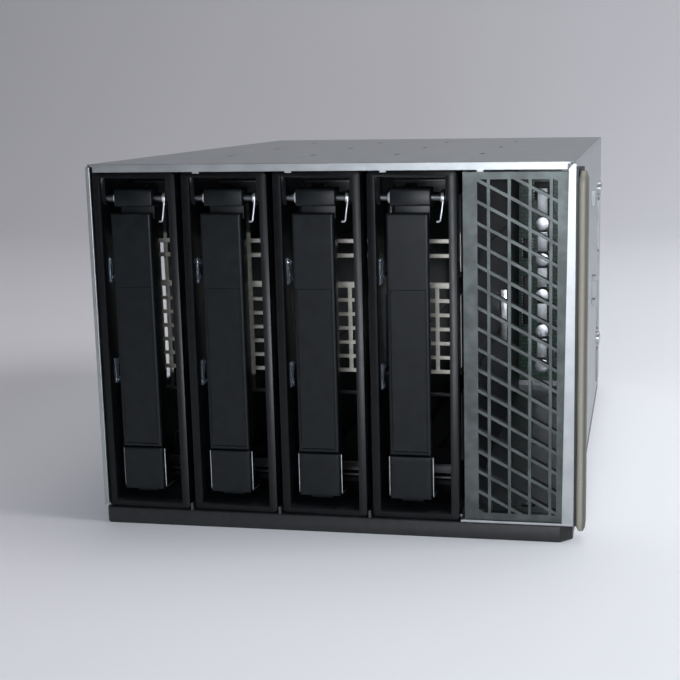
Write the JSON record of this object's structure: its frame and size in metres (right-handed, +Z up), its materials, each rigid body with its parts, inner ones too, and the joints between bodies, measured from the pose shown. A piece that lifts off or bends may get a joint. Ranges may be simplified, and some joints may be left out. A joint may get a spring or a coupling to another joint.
{
  "type": "hot swap drive cage",
  "caption": "Sheet steel drive cage with upright bays, sliding carriers with hinged handles and push latches, and an air duct behind a slanted-bar grille.",
  "frame": {"origin": "middle of the base, on the surface that the cage stands on", "axes": "+Z up, the bays open towards -Y, +X to the right seen from the front"},
  "size_m": [0.1584, 0.226, 0.1184],
  "materials": {
    "galvanised_steel": "satin zinc coated sheet",
    "grille_steel": "grey-green, semi-matt",
    "black_steel": "satin black powder coat",
    "black_abs": "fine moulded grain",
    "guide_plastic": "moulded",
    "gasket_cloth": "conductive cloth over foam",
    "green_board": "solder mask",
    "connector_plastic": "moulded",
    "bright_steel": "bright plated",
    "capacitor_can": "drawn can",
    "brass": "machined"
  },
  "bodies": {
    "cage": {"base_pan": "black_steel", "floor_plate": "galvanised_steel", "left_wall": "galvanised_steel", "right_wall": "galvanised_steel", "top_cover": "galvanised_steel", "divider_1": "galvanised_steel", "divider_2": "galvanised_steel", "divider_3": "galvanised_steel", "divider_4": "galvanised_steel", "air_grille": "grille_steel", "gasket_carrier": "black_steel", "gasket_strip": "gasket_cloth", "lower_guides": "guide_plastic", "upper_guides": "guide_plastic", "backplane_bracket": "galvanised_steel", "backplane_board": "green_board", "standoffs": "brass", "board_screws": "bright_steel", "drive_connectors": "connector_plastic", "signal_connectors": "bright_steel", "power_connector": "connector_plastic", "board_capacitors": "capacitor_can", "board_chips": "connector_plastic", "bracket_screws": "bright_steel"},
    "carrier_1": {"bezel_1": "black_abs", "lower_rail_1": "black_abs", "upper_rail_1": "black_abs", "vent_plate_1": "bright_steel", "hinge_pin_1": "bright_steel", "torsion_spring_1": "bright_steel"},
    "handle_1": {"handle_1": "black_abs"},
    "latch_1": {"latch_1": "black_abs"},
    "carrier_2": {"bezel_2": "black_abs", "lower_rail_2": "black_abs", "upper_rail_2": "black_abs", "vent_plate_2": "bright_steel", "hinge_pin_2": "bright_steel", "torsion_spring_2": "bright_steel"},
    "handle_2": {"handle_2": "black_abs"},
    "latch_2": {"latch_2": "black_abs"},
    "carrier_3": {"bezel_3": "black_abs", "lower_rail_3": "black_abs", "upper_rail_3": "black_abs", "vent_plate_3": "bright_steel", "hinge_pin_3": "bright_steel", "torsion_spring_3": "bright_steel"},
    "handle_3": {"handle_3": "black_abs"},
    "latch_3": {"latch_3": "black_abs"},
    "carrier_4": {"bezel_4": "black_abs", "lower_rail_4": "black_abs", "upper_rail_4": "black_abs", "vent_plate_4": "bright_steel", "hinge_pin_4": "bright_steel", "torsion_spring_4": "bright_steel"},
    "handle_4": {"handle_4": "black_abs"},
    "latch_4": {"latch_4": "black_abs"}
  },
  "joints": [
    {"name": "carrier_slide_1", "type": "slide", "parent": "cage", "child": "carrier_1", "axis": [0, -1, 0], "range_m": [0, 0.182]},
    {"name": "handle_hinge_1", "type": "hinge", "parent": "carrier_1", "child": "handle_1", "pos_m": [-0.0638, -0.1081, 0.1075], "axis": [-1, 0, 0], "range_deg": [0, 60]},
    {"name": "latch_press_1", "type": "slide", "parent": "handle_1", "child": "latch_1", "axis": [0, 1, 0], "range_m": [0, 0.0018], "stiffness_N_per_m": 400},
    {"name": "carrier_slide_2", "type": "slide", "parent": "cage", "child": "carrier_2", "axis": [0, -1, 0], "range_m": [0, 0.182]},
    {"name": "handle_hinge_2", "type": "hinge", "parent": "carrier_2", "child": "handle_2", "pos_m": [-0.03395, -0.1081, 0.1075], "axis": [-1, 0, 0], "range_deg": [0, 60]},
    {"name": "latch_press_2", "type": "slide", "parent": "handle_2", "child": "latch_2", "axis": [0, 1, 0], "range_m": [0, 0.0018], "stiffness_N_per_m": 400},
    {"name": "carrier_slide_3", "type": "slide", "parent": "cage", "child": "carrier_3", "axis": [0, -1, 0], "range_m": [0, 0.182]},
    {"name": "handle_hinge_3", "type": "hinge", "parent": "carrier_3", "child": "handle_3", "pos_m": [-0.0041, -0.1081, 0.1075], "axis": [-1, 0, 0], "range_deg": [0, 60]},
    {"name": "latch_press_3", "type": "slide", "parent": "handle_3", "child": "latch_3", "axis": [0, 1, 0], "range_m": [0, 0.0018], "stiffness_N_per_m": 400},
    {"name": "carrier_slide_4", "type": "slide", "parent": "cage", "child": "carrier_4", "axis": [0, -1, 0], "range_m": [0, 0.182]},
    {"name": "handle_hinge_4", "type": "hinge", "parent": "carrier_4", "child": "handle_4", "pos_m": [0.02575, -0.1081, 0.1075], "axis": [-1, 0, 0], "range_deg": [0, 60]},
    {"name": "latch_press_4", "type": "slide", "parent": "handle_4", "child": "latch_4", "axis": [0, 1, 0], "range_m": [0, 0.0018], "stiffness_N_per_m": 400}
  ]
}
